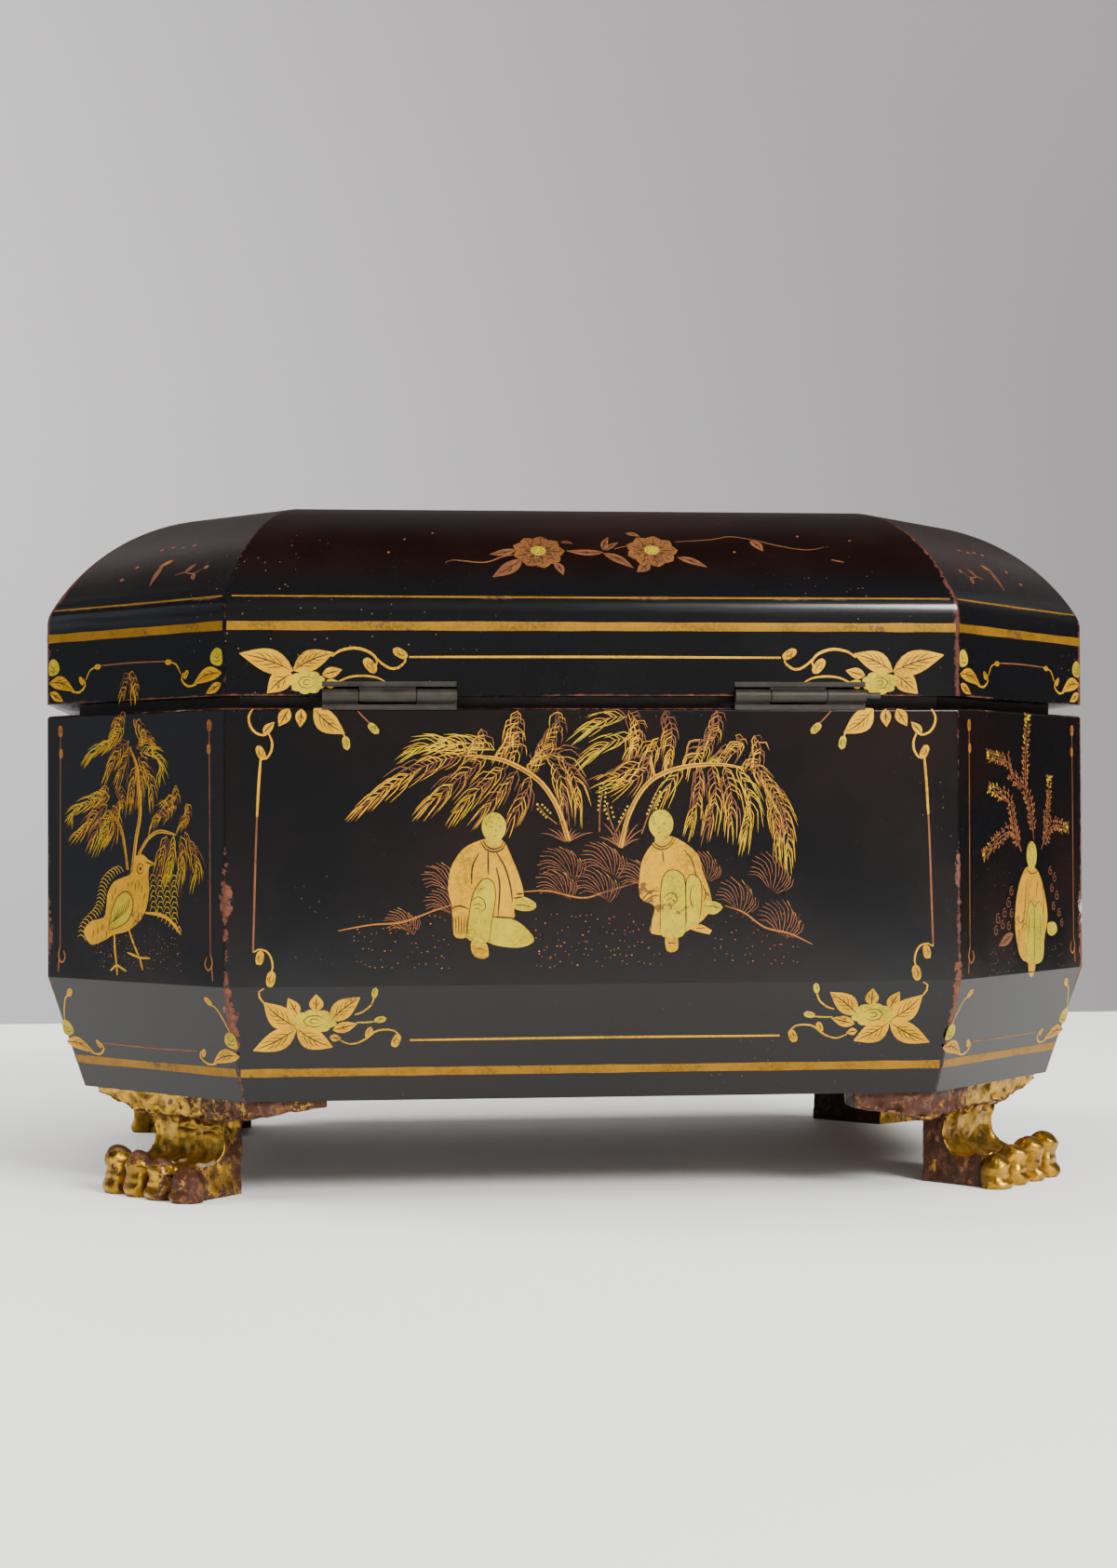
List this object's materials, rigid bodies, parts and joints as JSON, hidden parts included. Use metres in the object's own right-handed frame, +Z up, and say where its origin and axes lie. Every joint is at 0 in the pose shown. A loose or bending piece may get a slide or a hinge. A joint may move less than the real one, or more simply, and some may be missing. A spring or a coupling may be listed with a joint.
{
  "type": "ink box",
  "caption": "Eight-sided black lacquer ink box with gilt ornament, a hinged domed lid, a lock with its key, carved claw feet, and a lift-out tray with inkstone, dropper, ink stick and brush.",
  "frame": {"origin": "on the ground, at the middle of the footprint of the whole box, with the key in its lock and the hinge barrels", "axes": "+Z up; the lock and key are on the front, which faces -Y; the hinges are on the back, which faces +Y; +X along the width"},
  "size_m": [0.24, 0.1984, 0.1526],
  "materials": {
    "lacquered_wood": "gloss",
    "gilt_wood": "satin",
    "dark_wood": "satin",
    "tray_lacquer": "satin",
    "dull_brass": "matte",
    "brass": "satin",
    "slate": "matte",
    "porcelain": "gloss",
    "ink_cake": "satin",
    "bamboo": "satin",
    "hair": "matte"
  },
  "bodies": {
    "carcass": {"base_board": "dark_wood", "plinth_right": "lacquered_wood", "plinth_back_right": "lacquered_wood", "plinth_back": "lacquered_wood", "plinth_back_left": "lacquered_wood", "plinth_left": "lacquered_wood", "plinth_front_left": "lacquered_wood", "plinth_front": "lacquered_wood", "plinth_front_right": "lacquered_wood", "wall_right": "lacquered_wood", "wall_back_right": "lacquered_wood", "wall_back": "lacquered_wood", "wall_back_left": "lacquered_wood", "wall_left": "lacquered_wood", "wall_front_left": "lacquered_wood", "wall_front": "lacquered_wood", "wall_front_right": "lacquered_wood", "rim_lip": "dark_wood", "tray_ledges": "dark_wood", "foot_front_left": "gilt_wood", "foot_front_right": "gilt_wood", "foot_back_left": "gilt_wood", "foot_back_right": "gilt_wood", "hinge_leaf_body_left": "dull_brass", "hinge_leaf_body_right": "dull_brass", "hinge_pins": "dull_brass", "screws_body": "dull_brass", "lock_case": "brass", "escutcheon": "brass", "escutcheon_pins": "brass"},
    "lid": {"lid_rim_right": "lacquered_wood", "lid_rim_back_right": "lacquered_wood", "lid_rim_back": "lacquered_wood", "lid_rim_back_left": "lacquered_wood", "lid_rim_left": "lacquered_wood", "lid_rim_front_left": "lacquered_wood", "lid_rim_front": "lacquered_wood", "lid_rim_front_right": "lacquered_wood", "lid_stave_right": "lacquered_wood", "lid_stave_back_right": "lacquered_wood", "lid_stave_back": "lacquered_wood", "lid_stave_back_left": "lacquered_wood", "lid_stave_left": "lacquered_wood", "lid_stave_front_left": "lacquered_wood", "lid_stave_front": "lacquered_wood", "lid_stave_front_right": "lacquered_wood", "lid_top_panel": "lacquered_wood", "hinge_leaf_lid_left": "dull_brass", "hinge_leaf_lid_right": "dull_brass", "screws_lid": "dull_brass", "strike_plate": "brass"},
    "key": {"key": "brass"},
    "bolt": {"lock_bolt": "brass"},
    "tray": {"tray": "tray_lacquer", "tray_dividers": "dark_wood"},
    "inkstone": {"inkstone": "slate"},
    "water_dropper": {"water_dropper": "porcelain"},
    "ink_stick": {"ink_stick": "ink_cake"},
    "brush": {"brush_handle": "bamboo", "brush_tip": "hair"}
  },
  "joints": [
    {"name": "lid_hinge", "type": "hinge", "parent": "carcass", "child": "lid", "pos_m": [0, 0.09785, 0.1086], "axis": [-1, 0, 0], "range_deg": [0, 100]},
    {"name": "key_turn", "type": "hinge", "parent": "carcass", "child": "key", "pos_m": [0, -0.07855, 0.0935], "axis": [0, -1, 0], "range_deg": [0, 90]},
    {"name": "bolt_throw", "type": "slide", "parent": "carcass", "child": "bolt", "axis": [1, 0, 0], "range_m": [0, 0.004]},
    {"name": "tray_lift", "type": "slide", "parent": "carcass", "child": "tray", "axis": [0, 0, 1], "range_m": [0, 0.015]},
    {"name": "inkstone_lift", "type": "slide", "parent": "tray", "child": "inkstone", "axis": [0, 0, 1], "range_m": [0, 0.015]},
    {"name": "water_dropper_lift", "type": "slide", "parent": "tray", "child": "water_dropper", "axis": [0, 0, 1], "range_m": [0, 0.015]},
    {"name": "ink_stick_lift", "type": "slide", "parent": "tray", "child": "ink_stick", "axis": [0, 0, 1], "range_m": [0, 0.015]},
    {"name": "brush_lift", "type": "slide", "parent": "tray", "child": "brush", "axis": [0, 0, 1], "range_m": [0, 0.015]}
  ],
  "couplings": [
    {"joint": "key_turn", "follows": "bolt_throw", "rad_per_m": 392.69}
  ]
}
